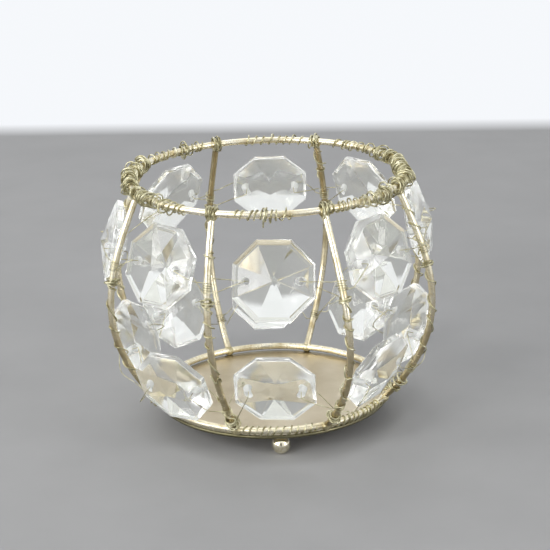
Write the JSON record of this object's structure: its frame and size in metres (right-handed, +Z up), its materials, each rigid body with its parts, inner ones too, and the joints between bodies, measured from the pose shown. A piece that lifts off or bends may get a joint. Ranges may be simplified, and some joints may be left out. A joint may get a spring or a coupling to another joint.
{
  "type": "crystal votive holder",
  "caption": "Round votive candle holder: a bulging cage of bent gold wire ribs on a footed plate, its panels hung with cut octagon crystals that swing on thin tie wires.",
  "frame": {"origin": "on the holder's vertical axis, at the level of the surface that its ball feet stand on", "axes": "+Z up out of the holder's mouth; -Y towards the side that the picture shows in front; +X to the right of it"},
  "size_m": [0.0881, 0.0897, 0.0668],
  "materials": {
    "cage_wire": "pale champagne gold, satin",
    "fine_wire": "dull pale gold",
    "plate_metal": "brownish gold, satin",
    "crystal": "clear, cut and polished"
  },
  "bodies": {
    "cage": {"base_plate": "plate_metal", "base_ring": "cage_wire", "rim_ring": "cage_wire", "rib_1": "cage_wire", "rib_2": "cage_wire", "rib_3": "cage_wire", "rib_4": "cage_wire", "rib_5": "cage_wire", "rib_6": "cage_wire", "rib_7": "cage_wire", "rib_8": "cage_wire", "ball_foot_1": "cage_wire", "ball_foot_2": "cage_wire", "ball_foot_3": "cage_wire", "tie_wire_upper_1": "fine_wire", "tie_wire_upper_2": "fine_wire", "tie_wire_upper_3": "fine_wire", "tie_wire_upper_4": "fine_wire", "tie_wire_upper_5": "fine_wire", "tie_wire_upper_6": "fine_wire", "tie_wire_upper_7": "fine_wire", "tie_wire_upper_8": "fine_wire", "tie_wire_lower_1": "fine_wire", "tie_wire_lower_2": "fine_wire", "tie_wire_lower_3": "fine_wire", "tie_wire_lower_4": "fine_wire", "tie_wire_lower_5": "fine_wire", "tie_wire_lower_6": "fine_wire", "tie_wire_lower_7": "fine_wire", "tie_wire_lower_8": "fine_wire", "rim_winding_1": "fine_wire", "rim_winding_2": "fine_wire", "rim_winding_3": "fine_wire", "rim_winding_4": "fine_wire", "rim_winding_5": "fine_wire", "rim_winding_6": "fine_wire", "rim_winding_7": "fine_wire", "rim_winding_8": "fine_wire"},
    "crystal_upper_1": {"crystal_upper_1": "crystal"},
    "crystal_upper_2": {"crystal_upper_2": "crystal"},
    "crystal_upper_3": {"crystal_upper_3": "crystal"},
    "crystal_upper_4": {"crystal_upper_4": "crystal"},
    "crystal_upper_5": {"crystal_upper_5": "crystal"},
    "crystal_upper_6": {"crystal_upper_6": "crystal"},
    "crystal_upper_7": {"crystal_upper_7": "crystal"},
    "crystal_upper_8": {"crystal_upper_8": "crystal"},
    "crystal_lower_1": {"crystal_lower_1": "crystal"},
    "crystal_lower_2": {"crystal_lower_2": "crystal"},
    "crystal_lower_3": {"crystal_lower_3": "crystal"},
    "crystal_lower_4": {"crystal_lower_4": "crystal"},
    "crystal_lower_5": {"crystal_lower_5": "crystal"},
    "crystal_lower_6": {"crystal_lower_6": "crystal"},
    "crystal_lower_7": {"crystal_lower_7": "crystal"},
    "crystal_lower_8": {"crystal_lower_8": "crystal"}
  },
  "joints": [
    {"name": "swing_upper_1", "type": "hinge", "parent": "cage", "child": "crystal_upper_1", "pos_m": [0.00089, -0.04017, 0.05], "axis": [0.9907, -0.1354, 0.0114], "range_deg": [-15, 15]},
    {"name": "swing_upper_2", "type": "hinge", "parent": "cage", "child": "crystal_upper_2", "pos_m": [0.0265, -0.0304, 0.052], "axis": [0.7364, 0.676, 0.0271], "range_deg": [-15, 15]},
    {"name": "swing_upper_3", "type": "hinge", "parent": "cage", "child": "crystal_upper_3", "pos_m": [0.0386, 0.00004, 0.0516], "axis": [0.2257, 0.9729, 0.0503], "range_deg": [-15, 15]},
    {"name": "swing_upper_4", "type": "hinge", "parent": "cage", "child": "crystal_upper_4", "pos_m": [0.02635, 0.02907, 0.0512], "axis": [-0.7079, 0.7063, 0], "range_deg": [-15, 15]},
    {"name": "swing_upper_5", "type": "hinge", "parent": "cage", "child": "crystal_upper_5", "pos_m": [0.00075, 0.03928, 0.0506], "axis": [-0.9999, -0.0141, 0], "range_deg": [-15, 15]},
    {"name": "swing_upper_6", "type": "hinge", "parent": "cage", "child": "crystal_upper_6", "pos_m": [-0.02626, 0.02917, 0.051], "axis": [-0.719, -0.695, 0], "range_deg": [-15, 15]},
    {"name": "swing_upper_7", "type": "hinge", "parent": "cage", "child": "crystal_upper_7", "pos_m": [-0.03983, -0.00009, 0.0485], "axis": [0.1088, -0.9938, -0.0235], "range_deg": [-15, 15]},
    {"name": "swing_upper_8", "type": "hinge", "parent": "cage", "child": "crystal_upper_8", "pos_m": [-0.02656, -0.0283, 0.0508], "axis": [0.7794, -0.6261, -0.0227], "range_deg": [-15, 15]},
    {"name": "swing_lower_1", "type": "hinge", "parent": "cage", "child": "crystal_lower_1", "pos_m": [0.00042, -0.037, 0.0211], "axis": [0.9952, -0.0977, 0], "range_deg": [-15, 15]},
    {"name": "swing_lower_2", "type": "hinge", "parent": "cage", "child": "crystal_lower_2", "pos_m": [0.0259, -0.02877, 0.0219], "axis": [0.6542, 0.7522, 0.079], "range_deg": [-15, 15]},
    {"name": "swing_lower_3", "type": "hinge", "parent": "cage", "child": "crystal_lower_3", "pos_m": [0.03555, 0.00069, 0.0233], "axis": [-0.3135, 0.9406, 0.1306], "range_deg": [-15, 15]},
    {"name": "swing_lower_4", "type": "hinge", "parent": "cage", "child": "crystal_lower_4", "pos_m": [0.02467, 0.02626, 0.0205], "axis": [-0.727, 0.6866, 0], "range_deg": [-15, 15]},
    {"name": "swing_lower_5", "type": "hinge", "parent": "cage", "child": "crystal_lower_5", "pos_m": [-0.00084, 0.03623, 0.0205], "axis": [-0.9992, -0.0405, 0], "range_deg": [-15, 15]},
    {"name": "swing_lower_6", "type": "hinge", "parent": "cage", "child": "crystal_lower_6", "pos_m": [-0.02601, 0.02499, 0.0205], "axis": [-0.7126, -0.7016, 0], "range_deg": [-15, 15]},
    {"name": "swing_lower_7", "type": "hinge", "parent": "cage", "child": "crystal_lower_7", "pos_m": [-0.03537, -0.00025, 0.0217], "axis": [-0.287, -0.9469, -0.1445], "range_deg": [-15, 15]},
    {"name": "swing_lower_8", "type": "hinge", "parent": "cage", "child": "crystal_lower_8", "pos_m": [-0.02477, -0.0275, 0.0187], "axis": [0.8374, -0.5443, 0.0499], "range_deg": [-15, 15]}
  ]
}
